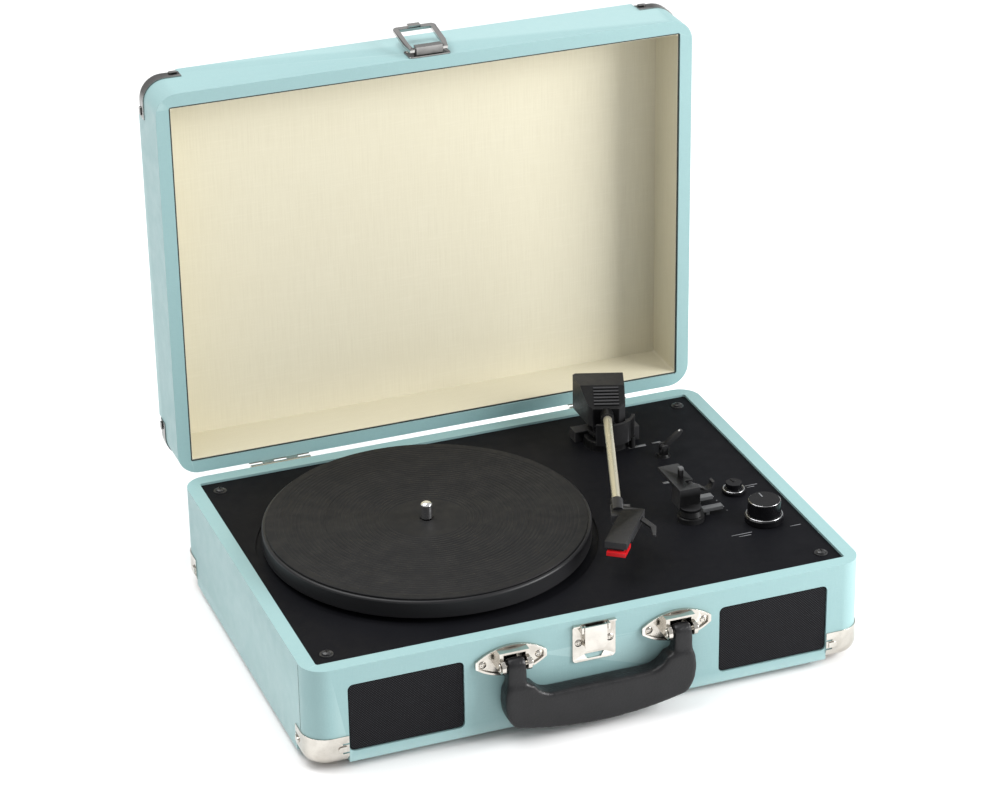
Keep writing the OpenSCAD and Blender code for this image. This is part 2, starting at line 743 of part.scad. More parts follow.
module tonearm_base() in_frame() color("dimgray") translate([pivot_x, pivot_y, 0]) difference() {
    union() {
        translate([0, 0, deck_under_z - 5]) cylinder(r = 7, h = deck_t + 5 + eps);
        translate([0, 0, deck_z]) cylinder(r1 = 15.2, r2 = 14, h = 5.5);
        translate([0, 0, deck_z + 5.5 - eps]) cylinder(r = 9, h = 3);
        translate([-19, 6, deck_z]) cube([12, 9, 7.5]);
        translate([6, -4.6, deck_z]) cube([15, 12, 7.5]);
        translate([12.8, -4.6, deck_z]) cube([8.2, 12, 10]);
    }
    translate([0, 0, deck_under_z - 10]) cylinder(r = yoke_shaft_r + run_gap, h = 40);
}

module tonearm_yoke() in_frame() color("gray") {
    translate([pivot_x, pivot_y, deck_under_z - 9])
        cylinder(r = yoke_shaft_r, h = deck_z + 18 - deck_under_z);
    translate([pivot_x, pivot_y, deck_z + 8.8]) cylinder(r = 12, h = 2);
    on_arm() for (side = [0, 1]) mirror([0, side, 0]) difference() {
        union() {
            translate([-3, cheek_in, deck_z + 10 - arm_z])
                cube([6, cheek_out - cheek_in, arm_z - deck_z - 10]);
            rotate([-90, 0, 0]) translate([0, 0, cheek_in])
                cylinder(r = 3, h = cheek_out - cheek_in);
        }
        rotate([90, 0, 0]) cylinder(r = arm_pin_r + run_gap, h = 40, center = true);
    }
}

// Side view of the housing: sloped front over the tube, chamfered back
module housing_profile(grow) polygon([[housing_back - grow, housing_low - 1],
    [housing_front + grow, housing_low - 1], [housing_front + grow, housing_lip + grow],
    [housing_brow + grow, housing_top + grow], [housing_back + 9 - grow, housing_top + grow],
    [housing_back - grow, 4 + grow]]);

// Plan of the housing: cut corners, and a left side that widens towards the back
module housing_plan(grow) {
    half = housing_w / 2 + grow;
    wing = housing_wing + grow;
    polygon([[housing_back - grow, -half + 1], [housing_back + 11, -wing],
        [housing_back + 15, -wing], [housing_front - 3, -half],
        [housing_front + grow, -half + 3], [housing_front + grow, half - 4],
        [housing_front - 4, half], [housing_back + 6, half],
        [housing_back - grow, half - 5]]);
}

module housing_block(grow, low) intersection() {
    rotate([90, 0, 0]) linear_extrude(60, center = true) housing_profile(grow);
    translate([0, 0, low]) linear_extrude(housing_top - low + 5) housing_plan(grow);
}

module tonearm_housing() in_frame() color("dimgray") on_arm() difference() {
    union() {
        housing_block(0, housing_low);
        rotate([0, 90, 0]) translate([0, 0, housing_front - 1])
            cylinder(r = 4.2, h = 9);
        translate([housing_brow, 0, housing_top]) rotate([0, housing_slope, 0])
            for (i = [1:6]) translate([i * 2.5, 0, 0]) cube([1.2, 16, 1.8], center = true);
    }
    difference() {
        housing_block(-housing_wall, housing_low - 1);
        translate([housing_back, -30, -20]) cube([2, 60, 40]);
        rotate([90, 0, 0]) translate([0, 0, cheek_out + 0.7]) cylinder(r = 3.2, h = 6);
    }
    rotate([90, 0, 0]) cylinder(r = arm_pin_r, h = housing_w - 2, center = true);
    rotate([0, 90, 0]) translate([0, 0, tube_start]) cylinder(r = tube_r, h = 20);
}

module counterweight() in_frame() color("gray") on_arm()
    translate([housing_back + 11, -7, 0.5]) cube([11, 14, housing_top - housing_wall - 0.5]);

module arm_pivot_pins() in_frame() color("silver") on_arm() for (side = [-1, 1])
    rotate([side * 90, 0, 0]) translate([0, 0, cheek_in - 0.5])
        cylinder(r = arm_pin_r, h = housing_w / 2 - 1 - cheek_in + 0.5);

module tonearm_tube() in_frame() color("tan") on_arm() rotate([0, 90, 0]) difference() {
    translate([0, 0, tube_start]) cylinder(r = tube_r, h = tube_end - tube_start);
    translate([0, 0, tube_start - 1]) cylinder(r = tube_r - 0.5, h = tube_end);
}

// Local X runs along the headshell from its rear edge
module on_headshell() on_arm() translate([socket_end - 1.5, 9.6, 0])
    rotate([0, 0, -headshell_angle]) children();

module headshell() in_frame() color("dimgray") difference() {
    union() {
        on_arm() rotate([0, 90, 0]) translate([0, 0, socket_start])
            cylinder(r = 4.4, h = socket_end - socket_start);
        on_arm() translate([socket_end - 6, -4.4, -3]) cube([14, 12, 6]);
        on_headshell() translate([0, -shell_w / 2, -1]) cube([shell_len, shell_w, 4]);
        on_headshell() for (side = [-1, 1])
            translate([0, side * (shell_w / 2 - 0.8) - 0.8, -3]) cube([shell_len - 14, 1.6, 3]);
    }
    on_arm() rotate([0, 90, 0]) translate([0, 0, socket_start - 1])
        cylinder(r = tube_r, h = tube_end - socket_start + 1);
}

module finger_lift() in_frame() color("silver") on_headshell()
    translate([6, shell_w / 2, 0]) linear_extrude(1.4) polygon([[0, 0], [5, 0],
        [12, 8], [21, 11.5], [21, 13.4], [10, 11]]);

module cartridge() in_frame() color("black") on_headshell()
    translate([shell_len - 17, -4.6, -5.2]) cube([15, 9.2, 4.2]);

module stylus() in_frame() color("red") on_headshell() {
    translate([shell_len - 1.9, -5.2, -5.6]) cube([3.4, 10.4, 2.6]);
    translate([shell_len - 12, 4.7, -5.6]) cube([13.5, 1.6, 2.6]);
    translate([shell_len - 1, -0.4, -6.4]) cube([0.8, 0.8, 1]);
    translate([shell_len - 0.6, 0, arm_tip_z() - arm_z]) cylinder(r1 = 0.12, r2 = 0.4, h = 1.2);
}

// The stylus tip hangs just above a record's surface
function arm_tip_z() = mat_z + 1.8;

// ---- Arm rest and clip ----

module arm_rest_post() in_frame() color("dimgray") difference() {
    union() {
        translate([rest_x, rest_y, deck_z]) rotate_extrude() polygon([[0, 0], [8.4, 0],
            [8.4, 3.2], [7.6, 3.8], [8.1, 4.6], [6.6, 7.4], [6.6, 9], [0, 9]]);
        translate([rest_x - rest_w / 2, rest_front_y, deck_z + 7])
            cube([rest_w, 12, rest_top_z - deck_z - 8]);
        translate([rest_x - rest_w / 2, rest_front_y, rest_top_z - 2.2])
            cube([rest_w, rest_len, 2.2]);
        translate([hook_x, hook_y - 1.5, rest_top_z - 1]) cube([2.6, 3, 8]);
    }
    translate([clip_x - 3.2, cradle_y - clip_w / 2 - 0.35, clip_z - 3.2])
        cube([9, clip_w + 0.7, 9]);
    translate([clip_x, cradle_y, clip_z]) rotate([90, 0, 0])
        cylinder(r = 0.8 + run_gap, h = 11, center = true);
}

module arm_clip() in_frame() color("black") translate([clip_x, cradle_y, clip_z])
    rotate([0, clip_open_angle, 0]) rotate([90, 0, 0]) {
        cylinder(r = 0.8, h = 10, center = true);
        linear_extrude(clip_w, center = true) {
            circle(1.7);
            polygon([[-1.6, 0.3], [1.3, 0.9], [-2.7, 6.6], [-4.4, 5]]);
            translate([cradle_x - clip_x, arm_z - clip_z]) difference() {
                circle(4.8);
                circle(3.3);
                rotate([0, 0, 170]) translate([-6, -0.3]) square([12, 8]);
            }
        }
    }

// ---- Cue lift ----

module lift_stem_place() translate([pivot_x, pivot_y, 0]) rotate([0, 0, -45])
    translate([(arc_in_r + arc_out_r) / 2 + 0.8, 0, 0]) children();

module cue_lift_arc() in_frame() color("dimgray") {
    translate([pivot_x, pivot_y, rim_z + 4.5]) rotate([0, 0, -134])
        rotate_extrude(angle = 110) translate([arc_in_r, 0])
            square([arc_out_r - arc_in_r, arm_z - tube_r - fit_gap - rim_z - 4.5]);
    lift_stem_place() translate([0, 0, deck_under_z - 6])
        cylinder(r = 2, h = rim_z + 6 - deck_under_z + 6);
}

module cue_lever_bush() in_frame() color("black") translate([lever_x, lever_y, 0]) difference() {
    union() {
        translate([0, 0, deck_z]) cylinder(r1 = 4.5, r2 = 3.6, h = 2);
        for (side = [-1, 1]) translate([-2, side * 2.5 - 0.7, deck_z])
            cube([4, 1.4, lever_z - deck_z + 2]);
    }
    translate([0, 0, lever_z]) rotate([90, 0, 0])
        cylinder(r = 0.9 + run_gap, h = 20, center = true);
}

module cue_lever() in_frame() color("black") translate([lever_x, lever_y, lever_z])
    rotate([0, -lever_angle, 0]) rotate([90, 0, 0]) {
        cylinder(r = 0.9, h = 6.2, center = true);
        linear_extrude(2.8, center = true) {
            circle(1.9);
            polygon([[0, -1.2], [12, -1.7], [15.5, -0.8], [16.2, 0], [15.5, 0.8], [12, 1.7],
                [0, 1.2]]);
        }
    }

// ---- Knobs, sliders and what they drive ----

module volume_knob() in_frame() color("black") translate([volume_x, volume_y, 0]) {
    translate([0, 0, deck_z + 0.5]) cylinder(r1 = volume_r, r2 = volume_r, h = 3.6);
    translate([0, 0, deck_z + 4.1 - eps]) cylinder(r1 = volume_r, r2 = volume_r - 1.6, h = 1);
    translate([0, 0, deck_z + 5.1 - 2 * eps])
        cylinder(r1 = volume_r - 1.6, r2 = volume_r - 1.9, h = 9);
    translate([0, 0, deck_z + 14.1 - 3 * eps])
        cylinder(r1 = volume_r - 1.9, r2 = volume_r - 2.6, h = 0.7);
    translate([0, 0, deck_under_z - 10]) cylinder(r = knob_stem_r, h = 14);
}

module volume_pot() in_frame() color("silver") translate([volume_x, volume_y, 0]) difference() {
    union() {
        translate([-8.5, -8.5, deck_under_z - 11]) cube([17, 17, 11]);
        translate([0, 0, deck_under_z - eps]) cylinder(r = 4, h = deck_t + eps);
    }
    translate([0, 0, deck_under_z - 10.5]) cylinder(r = knob_stem_r + run_gap, h = 20);
}

module function_knob() in_frame() color("black") translate([function_x, function_y, 0]) {
    translate([0, 0, deck_z + 0.5]) cylinder(r = 7.3, h = 1.8);
    translate([0, 0, deck_z + 2.3 - eps]) cylinder(r1 = 7.3, r2 = 5.2, h = 0.8);
    translate([0, 0, deck_z + 3.1 - 2 * eps]) cylinder(r1 = 5.2, r2 = 5, h = 4);
    translate([-0.6, 0.5, deck_z + 7]) cube([1.2, 4.2, 0.5]);
    translate([0, 0, deck_under_z - 8]) cylinder(r = knob_stem_r, h = 12);
}

module function_switch() in_frame() color("green") translate([function_x, function_y, 0])
    difference() {
        union() {
            translate([-9, -9, deck_under_z - 9]) cube([18, 18, 9]);
            translate([0, 0, deck_under_z - eps]) cylinder(r = 4, h = deck_t + eps);
        }
        translate([0, 0, deck_under_z - 8.5]) cylinder(r = knob_stem_r + run_gap, h = 20);
    }

module slider(y, tab_from, tab_to) translate([0, y, 0]) {
    translate([tab_from, -slider_w / 2, rim_z + 0.6])
        cube([tab_to - tab_from, slider_w, 2.4]);
    translate([slot_x - 1.2, -1.4, deck_under_z - 3]) cube([2.4, 2.8, rim_z + 1 - deck_under_z + 3]);
}

module speed_slider() in_frame() color("darkgray") slider(speed_y, 109.8, 123.4);
module autostop_slider() in_frame() color("darkgray") slider(autostop_y, 110.4, 122.8);

module slide_switches() in_frame() color("silver")
    for (s = [[speed_y, speed_travel], [autostop_y, autostop_travel]])
        translate([slot_x, s[0] + s[1] / 2, deck_under_z - 7]) difference() {
            translate([-4, -s[1] / 2 - 2.6, 0]) cube([8, s[1] + 5.2, 7]);
            translate([-1.6, -s[1] / 2 - 1.8, 3.6]) cube([3.2, s[1] + 3.6, 8]);
        }

// ---- Electronics ----

module main_board() in_frame() color("green") translate([15, -45, floor_z + 6]) {
    translate([0, 0, 0]) cube([85, 60, 1.6]);
    for (x = [5, 80], y = [5, 55]) translate([x, y, -6]) cylinder(r = 3, h = 6 + eps);
    translate([14, 14, 1.6 - eps]) cube([16, 14, 4]);
    for (i = [0:2]) translate([42 + i * 14, 44, 1.6 - eps]) cylinder(r = 4, h = 11);
    translate([44, 12, 1.6 - eps]) cube([22, 12, 9]);
}

module rear_jack_plate() in_frame() color("black") difference() {
    on_rear(jack_x, jack_z) rounded_box(70, 21, plate_t, 3);
    on_rear(dc_x, jack_z) translate([0, 0, -2]) cylinder(r = 4.3, h = 6);
    for (i = [0, 1]) on_rear(rca_x + i * rca_pitch, jack_z) translate([0, 0, -2])
        cylinder(r = 5.3, h = 6);
    on_rear(phone_x, jack_z) translate([0, 0, -2]) cylinder(r = 3.1, h = 6);
    case_screw_places() translate([0, 0, -3]) cylinder(r = 1.3, h = 4);
}

module dc_jack() in_frame() color("dimgray") on_rear(dc_x, jack_z) {
    difference() {
        union() {
            translate([0, 0, -14]) cylinder(r = 4.2, h = 15.4);
            translate([-5.5, -5.5, -18]) cube([11, 11, 12]);
        }
        translate([0, 0, -9]) cylinder(r = 2.8, h = 12);
    }
    translate([0, 0, -9 - eps]) cylinder(r = 1, h = 8.5 + eps);
}

module rca_sockets() in_frame() color("gold") for (i = [0, 1])
    on_rear(rca_x + i * rca_pitch, jack_z) difference() {
        union() {
            translate([0, 0, -12]) cylinder(r = 5.2, h = 14);
            translate([0, 0, 2 - eps]) cylinder(r = rca_r, h = 8);
        }
        translate([0, 0, -2]) cylinder(r = 1.6, h = 14);
    }

module headphone_jack() in_frame() color("dimgray") on_rear(phone_x, jack_z) difference() {
    union() {
        translate([-4, -4, -14]) cube([8, 8, 12]);
        translate([0, 0, -3]) cylinder(r = 3, h = 4.6);
    }
    translate([0, 0, -13]) cylinder(r = phone_r, h = 16);
}

base_shell();
floor_panel();
rubber_feet();
base_corner_caps();
speaker_grille_left();
speaker_grille_right();
speaker_drivers();
deck_plate();
deck_screws();
case_screws();
latch_plate();
latch_tongue();
handle_plate_left();
handle_plate_right();
handle_pins();
handle();
hinge_base_leaves();
hinge_pins();
hinge_lid_leaves();
lid_shell();
lid_lining();
lid_corner_caps();
lid_screws();
hasp_bracket();
hasp_loop();
platter_bearing();
spindle();
platter();
platter_mat();
motor();
motor_pulley();
drive_belt();
tonearm_base();
tonearm_yoke();
tonearm_housing();
counterweight();
arm_pivot_pins();
tonearm_tube();
headshell();
finger_lift();
cartridge();
stylus();
arm_rest_post();
arm_clip();
cue_lever_bush();
cue_lever();
cue_lift_arc();
volume_knob();
volume_pot();
function_knob();
function_switch();
speed_slider();
autostop_slider();
slide_switches();
main_board();
rear_jack_plate();
dc_jack();
rca_sockets();
headphone_jack();
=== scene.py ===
"""Looks, camera and light for the suitcase record player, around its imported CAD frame."""

import json
import math

import bmesh
import bpy
from mathutils import Matrix, Vector


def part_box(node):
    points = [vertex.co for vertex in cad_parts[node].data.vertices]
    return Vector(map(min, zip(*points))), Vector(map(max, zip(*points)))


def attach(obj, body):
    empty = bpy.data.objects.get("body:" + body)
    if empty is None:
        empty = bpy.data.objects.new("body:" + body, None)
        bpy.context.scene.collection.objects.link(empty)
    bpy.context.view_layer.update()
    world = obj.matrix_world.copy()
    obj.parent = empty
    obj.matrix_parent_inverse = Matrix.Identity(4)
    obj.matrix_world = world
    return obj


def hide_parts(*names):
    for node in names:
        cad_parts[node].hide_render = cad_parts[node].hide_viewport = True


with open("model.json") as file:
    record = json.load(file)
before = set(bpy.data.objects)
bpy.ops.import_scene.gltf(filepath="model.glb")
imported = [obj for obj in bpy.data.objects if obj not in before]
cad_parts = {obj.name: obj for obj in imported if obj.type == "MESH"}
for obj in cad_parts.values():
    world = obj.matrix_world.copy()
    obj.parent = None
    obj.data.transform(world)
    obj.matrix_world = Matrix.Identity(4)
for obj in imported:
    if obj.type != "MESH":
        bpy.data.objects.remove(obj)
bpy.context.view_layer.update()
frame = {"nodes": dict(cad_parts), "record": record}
NODES = frame["nodes"]
MM = 0.001
for packed in list(bpy.data.materials):
    bpy.data.materials.remove(packed)

# Top face of the deck, in the row frame
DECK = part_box("deck_plate")[1].z / MM

# Camera, in the row frame
LENS_MM = 115.56
SENSOR_MM = 36.0
CAMERA_AZIMUTH = -20.47
CAMERA_ELEVATION = 26.40
CAMERA_ROLL = -0.90
CAMERA_TARGET = (52.57, 146.26, 65.0)
CAMERA_DISTANCE = 2121.14

# Lights, in metres and watts
KEY_PLACE, KEY_SIZE, KEY_WATTS = (-0.7, 0.5, 2.1), 1.8, 50
FRONT_PLACE, FRONT_SIZE, FRONT_WATTS = (1.3, -0.8, 0.75), 0.9, 36
FRONT_AIM = (0, 0, 0.12)


# ---------------------------------------------------------------- materials

class Finish:
    """A node material: a Principled shader fed by textures in object space, sizes in mm."""

    def __init__(self, name, colour, rough, metal=0.0, specular=0.5, coat=0.0, coat_rough=0.1):
        self.material = bpy.data.materials.new(name)
        self.material.use_nodes = True
        self.tree = self.material.node_tree
        self.shader = self.tree.nodes["Principled BSDF"]
        self.set("Base Color", (*colour, 1.0))
        self.set("Roughness", rough)
        self.set("Metallic", metal)
        self.set("Specular IOR Level", specular)
        self.set("Coat Weight", coat)
        self.set("Coat Roughness", coat_rough)
        self.where = self.node("ShaderNodeTexCoord").outputs["Object"]
        self.normal = None
        self.base = None

    def set(self, socket, value):
        self.shader.inputs[socket].default_value = value

    def node(self, kind, **props):
        made = self.tree.nodes.new(kind)
        for key, value in props.items():
            setattr(made, key, value)
        return made

    def join(self, output, target):
        self.tree.links.new(output, target)

    def scaled(self, size, turn=(0, 0, 0)):
        """Object coordinates divided by a size in mm, one number or one for each axis."""
        sizes = size if isinstance(size, tuple) else (size, size, size)
        mapping = self.node("ShaderNodeMapping", vector_type="TEXTURE")
        mapping.inputs["Scale"].default_value = [s * MM for s in sizes]
        mapping.inputs["Rotation"].default_value = [math.radians(a) for a in turn]
        self.join(self.where, mapping.inputs["Vector"])
        return mapping.outputs["Vector"]

    def noise(self, size, detail=2.0, turn=(0, 0, 0), bend=0.0):
        made = self.node("ShaderNodeTexNoise")
        made.inputs["Scale"].default_value = 1.0
        made.inputs["Detail"].default_value = detail
        made.inputs["Distortion"].default_value = bend
        self.join(self.scaled(size, turn), made.inputs["Vector"])
        return made.outputs["Fac"]

    def cells(self, size):
        made = self.node("ShaderNodeTexVoronoi", feature="F1")
        made.inputs["Scale"].default_value = 1.0
        self.join(self.scaled(size), made.inputs["Vector"])
        return made.outputs["Distance"]

    def bands(self, pitch, direction="X", turn=(0, 0, 0), bend=0.0):
        made = self.node("ShaderNodeTexWave", wave_type="BANDS", bands_direction=direction)
        made.inputs["Scale"].default_value = 1.0
        made.inputs["Distortion"].default_value = bend
        # A wave of scale 1 repeats every 2 pi / 20 units
        self.join(self.scaled(pitch / 0.314159, turn), made.inputs["Vector"])
        return made.outputs["Fac"]

    def math(self, operation, a, b):
        made = self.node("ShaderNodeMath", operation=operation)
        for socket, value in zip(made.inputs, (a, b)):
            if isinstance(value, (int, float)):
                socket.default_value = value
            else:
                self.join(value, socket)
        return made.outputs[0]

    def span(self, factor, low, high, to_low=0.0, to_high=1.0):
        """Maps low..high of a texture to to_low..to_high, clamped."""
        made = self.node("ShaderNodeMapRange")
        for key, value in (("From Min", low), ("From Max", high), ("To Min", to_low),
                           ("To Max", to_high)):
            made.inputs[key].default_value = value
        self.join(factor, made.inputs["Value"])
        return made.outputs["Result"]

    def edges(self, low=0.52, high=0.6):
        """1 along convex edges, from the mesh's own curvature; the mask of the painted edge
        highlights.
        """
        return self.span(self.node("ShaderNodeNewGeometry").outputs["Pointiness"], low, high)

    def tint(self, factor, colour):
        """Lays a second colour over the base where factor is 1."""
        mix = self.node("ShaderNodeMix", data_type="RGBA")
        if self.base is None:
            mix.inputs["A"].default_value = list(self.shader.inputs["Base Color"].default_value)
        else:
            self.join(self.base, mix.inputs["A"])
        mix.inputs["B"].default_value = (*colour, 1.0)
        self.join(factor, mix.inputs["Factor"])
        self.base = mix.outputs["Result"]
        self.join(self.base, self.shader.inputs["Base Color"])

    def shine(self, factor, low, high):
        """Roughness from low to high as a texture goes from 0.3 to 0.7."""
        self.join(self.span(factor, 0.3, 0.7, low, high), self.shader.inputs["Roughness"])

    def bump(self, height, depth, strength=1.0):
        """Relief of a depth in mm."""
        made = self.node("ShaderNodeBump")
        made.inputs["Distance"].default_value = depth * MM
        made.inputs["Strength"].default_value = strength
        self.join(height, made.inputs["Height"])
        if self.normal is not None:
            self.join(self.normal, made.inputs["Normal"])
        self.normal = made.outputs["Normal"]
        self.join(self.normal, self.shader.inputs["Normal"])


def leatherette():
    f = Finish("leatherette", (0.255, 0.405, 0.41), 0.45, specular=0.35, coat=0.08,
               coat_rough=0.35)
    linen = f.math("MAXIMUM", f.noise((5, 0.5, 0.5), 1), f.noise((0.5, 0.5, 5), 1))
    linen = f.math("MAXIMUM", linen, f.noise((0.5, 5, 0.5), 1))
    pores = f.cells(0.9)
    f.tint(f.span(f.noise(60, 3), 0.35, 0.75, 0.0, 0.35), (0.225, 0.37, 0.385))
    f.tint(f.span(linen, 0.45, 0.72, 0.22, 0.0), (0.19, 0.325, 0.34))
    # Painted highlight: convex edges of the covering lightened
    f.tint(f.math("MULTIPLY", f.edges(), 0.35), (0.42, 0.58, 0.58))
    f.shine(f.noise(9, 3), 0.36, 0.5)
    f.bump(pores, 0.03, 0.5)
    f.bump(linen, 0.09, 0.8)
    return f


def board():
    f = Finish("board", (0.23, 0.15, 0.085), 0.8)
    f.tint(f.span(f.noise((14, 2, 2), 4), 0.4, 0.7), (0.32, 0.22, 0.13))
    f.bump(f.noise((6, 0.8, 0.8), 3), 0.15, 0.6)
    return f


def foot_rubber():
    f = Finish("foot_rubber", (0.018, 0.018, 0.019), 0.75)
    f.tint(f.span(f.noise(4, 3), 0.4, 0.7, 0.0, 0.6), (0.05, 0.048, 0.045))
    f.bump(f.noise(0.5, 2), 0.05, 0.6)
    return f


def nickel():
    f = Finish("nickel", (0.56, 0.53, 0.48), 0.13, metal=1.0)
    f.tint(f.span(f.noise(7, 3), 0.4, 0.75, 0.0, 0.6), (0.36, 0.33, 0.29))
    # Painted highlight: convex edges brightened
    f.tint(f.math("MULTIPLY", f.edges(), 0.5), (0.93, 0.91, 0.87))
    f.shine(f.noise(3.5, 4), 0.11, 0.24)
    f.bump(f.noise(2.4, 3), 0.02, 0.35)
    return f


def dark_chrome():
    f = Finish("dark_chrome", (0.105, 0.103, 0.10), 0.14, metal=1.0)
    f.tint(f.span(f.noise(6, 3), 0.4, 0.75, 0.0, 0.6), (0.04, 0.039, 0.038))
    # Painted highlight: convex edges brightened
    f.tint(f.math("MULTIPLY", f.edges(), 0.6), (0.75, 0.74, 0.72))
    f.shine(f.noise(3, 4), 0.1, 0.22)
    f.bump(f.noise(2.4, 3), 0.02, 0.35)
    return f


def grille_cloth():
    f = Finish("grille_cloth", (0.004, 0.004, 0.005), 0.7, specular=0.1)
    over = f.bands(1.15, "X", turn=(0, 45, 0), bend=0.2)
    under = f.bands(1.15, "Z", turn=(0, 45, 0), bend=0.2)
    weave = f.math("MULTIPLY", over, under)
    f.tint(f.span(weave, 0.15, 0.8), (0.032, 0.032, 0.036))
    f.tint(f.span(f.noise(9, 2), 0.45, 0.75, 0.0, 0.3), (0.012, 0.012, 0.014))
    f.bump(weave, 0.28, 0.9)
    return f


def driver_metal():
    f = Finish("driver_metal", (0.36, 0.36, 0.365), 0.38, metal=0.85)
    f.tint(f.span(f.noise(5, 3), 0.4, 0.7, 0.0, 0.5), (0.25, 0.25, 0.26))
    f.shine(f.noise(2, 3), 0.3, 0.48)
    f.bump(f.noise(0.8, 2), 0.02, 0.4)
    return f


def deck_black():
    f = Finish("deck_black", (0.0048, 0.005, 0.0064), 0.46, specular=0.045)
    f.tint(f.span(f.noise(0.35, 2), 0.5, 0.72, 0.0, 0.6), (0.011, 0.011, 0.0125))
    f.tint(f.span(f.noise(45, 3), 0.4, 0.75, 0.0, 0.35), (0.009, 0.009, 0.0105))
    f.shine(f.noise(12, 3), 0.44, 0.56)
    f.bump(f.cells(0.55), 0.06, 0.6)
    f.bump(f.noise(0.3, 2), 0.05, 0.6)
    return f


def black_screw():
    f = Finish("black_screw", (0.03, 0.03, 0.031), 0.34, metal=0.6)
    # Painted highlight: convex edges of the screw heads lightened
    f.tint(f.math("MULTIPLY", f.edges(), 0.7), (0.16, 0.16, 0.16))
    f.shine(f.noise(1.4, 3), 0.26, 0.45)
    return f


def handle_plastic():
    f = Finish("handle_plastic", (0.006, 0.006, 0.0068), 0.36, specular=0.32)
    f.tint(f.span(f.noise(14, 3), 0.4, 0.75, 0.0, 0.5), (0.010, 0.010, 0.0115))
    # Painted highlight: convex edges of the grip lightened
    f.tint(f.math("MULTIPLY", f.edges(0.54, 0.64), 0.3), (0.03, 0.03, 0.033))
    f.shine(f.noise(5, 3), 0.3, 0.44)
    f.bump(f.cells(1.1), 0.16, 0.7)
    f.bump(f.noise(0.5, 2), 0.05, 0.5)
    return f


def lining():
    f = Finish("lining", (0.62, 0.585, 0.455), 0.66, specular=0.25)
    threads = f.noise((0.8, 0.8, 26), 3)
    cross = f.noise((18, 0.9, 0.9), 2)
    f.tint(f.span(threads, 0.4, 0.7, 0.0, 0.45), (0.56, 0.52, 0.395))
    f.tint(f.span(cross, 0.5, 0.75, 0.0, 0.25), (0.68, 0.645, 0.52))
    f.tint(f.span(f.noise(80, 2), 0.4, 0.7, 0.0, 0.25), (0.60, 0.555, 0.42))
    f.shine(f.noise(4, 2), 0.6, 0.74)
    f.bump(threads, 0.09, 0.55)
    f.bump(cross, 0.05, 0.4)
    return f


def brass():
    f = Finish("brass", (0.72, 0.50, 0.20), 0.24, metal=1.0)
    f.tint(f.span(f.noise(2.5, 3), 0.4, 0.7, 0.0, 0.4), (0.55, 0.37, 0.14))
    f.shine(f.noise(1.5, 3), 0.18, 0.32)
    return f


def bright_steel():
    f = Finish("bright_steel", (0.86, 0.86, 0.865), 0.1, metal=1.0)
    turned = f.noise((6, 6, 0.25), 2)
    f.tint(f.span(turned, 0.5, 0.7, 0.0, 0.25), (0.7, 0.7, 0.71))
    f.shine(f.noise(1.5, 2), 0.07, 0.15)
    f.bump(turned, 0.01, 0.3)
    return f


def platter_plastic():
    f = Finish("platter_plastic", (0.010, 0.010, 0.011), 0.38, specular=0.25)
    f.tint(f.span(f.noise(20, 3), 0.4, 0.75, 0.0, 0.4), (0.016, 0.016, 0.0175))
    # Painted highlight: convex edges lightened
    f.tint(f.math("MULTIPLY", f.edges(), 0.3), (0.10, 0.10, 0.105))
    f.bump(f.noise(0.5, 2), 0.03, 0.5)
    return f


def mat_rubber():
    f = Finish("mat_rubber", (0.0085, 0.0085, 0.009), 0.58, specular=0.16)
    f.tint(f.span(f.noise(16, 4), 0.45, 0.75, 0.0, 0.45), (0.017, 0.0165, 0.016))
    # Painted highlight: convex edges and rib crests lightened
    f.tint(f.math("MULTIPLY", f.edges(), 0.35), (0.075, 0.075, 0.077))
    f.shine(f.noise(7, 3), 0.54, 0.7)
    f.bump(f.noise(0.45, 2), 0.04, 0.6)
    return f


def belt_rubber():
    f = Finish("belt_rubber", (0.02, 0.02, 0.02), 0.6)
    f.tint(f.span(f.noise(3, 2), 0.4, 0.7, 0.0, 0.5), (0.04, 0.04, 0.04))
    f.bump(f.noise(0.4, 2), 0.03, 0.5)
    return f


def arm_plastic():
    f = Finish("arm_plastic", (0.0042, 0.0042, 0.0044), 0.3, specular=0.13)
    f.tint(f.span(f.noise(6, 3), 0.4, 0.75, 0.0, 0.5), (0.008, 0.008, 0.0085))
    # Painted highlight: convex edges lightened
    f.tint(f.math("MULTIPLY", f.edges(), 0.5), (0.10, 0.10, 0.105))
    f.shine(f.noise(3, 3), 0.3, 0.44)
    f.bump(f.noise(0.4, 2), 0.03, 0.5)
    return f


def champagne():
    f = Finish("champagne", (0.60, 0.565, 0.44), 0.3, metal=0.75)
    drawn = f.noise((2, 40, 2), 2, turn=(0, 0, -19.7))
    f.tint(f.span(drawn, 0.4, 0.7, 0.0, 0.5), (0.52, 0.485, 0.36))
    f.shine(f.noise((3, 30, 3), 2, turn=(0, 0, -19.7)), 0.24, 0.34)
    return f


def stylus_red():
    f = Finish("stylus_red", (0.62, 0.012, 0.016), 0.2, coat=0.3)
    f.tint(f.span(f.noise(3, 2), 0.45, 0.75, 0.0, 0.4), (0.45, 0.008, 0.01))
    f.bump(f.noise(0.7, 2), 0.02, 0.4)
    return f


def knob_gloss():
    f = Finish("knob_gloss", (0.005, 0.005, 0.0058), 0.16, specular=0.14, coat=0.06)
    f.tint(f.span(f.noise(5, 3), 0.45, 0.75, 0.0, 0.5), (0.009, 0.009, 0.0102))
    f.shine(f.noise(3, 3), 0.1, 0.2)
    f.bump(f.noise(0.5, 2), 0.012, 0.4)
    return f


def slider_grey():
    f = Finish("slider_grey", (0.105, 0.108, 0.112), 0.42, specular=0.3)
    f.tint(f.span(f.noise(2.5, 3), 0.4, 0.75, 0.0, 0.5), (0.075, 0.077, 0.08))
    f.bump(f.noise(0.4, 2), 0.03, 0.5)
    return f


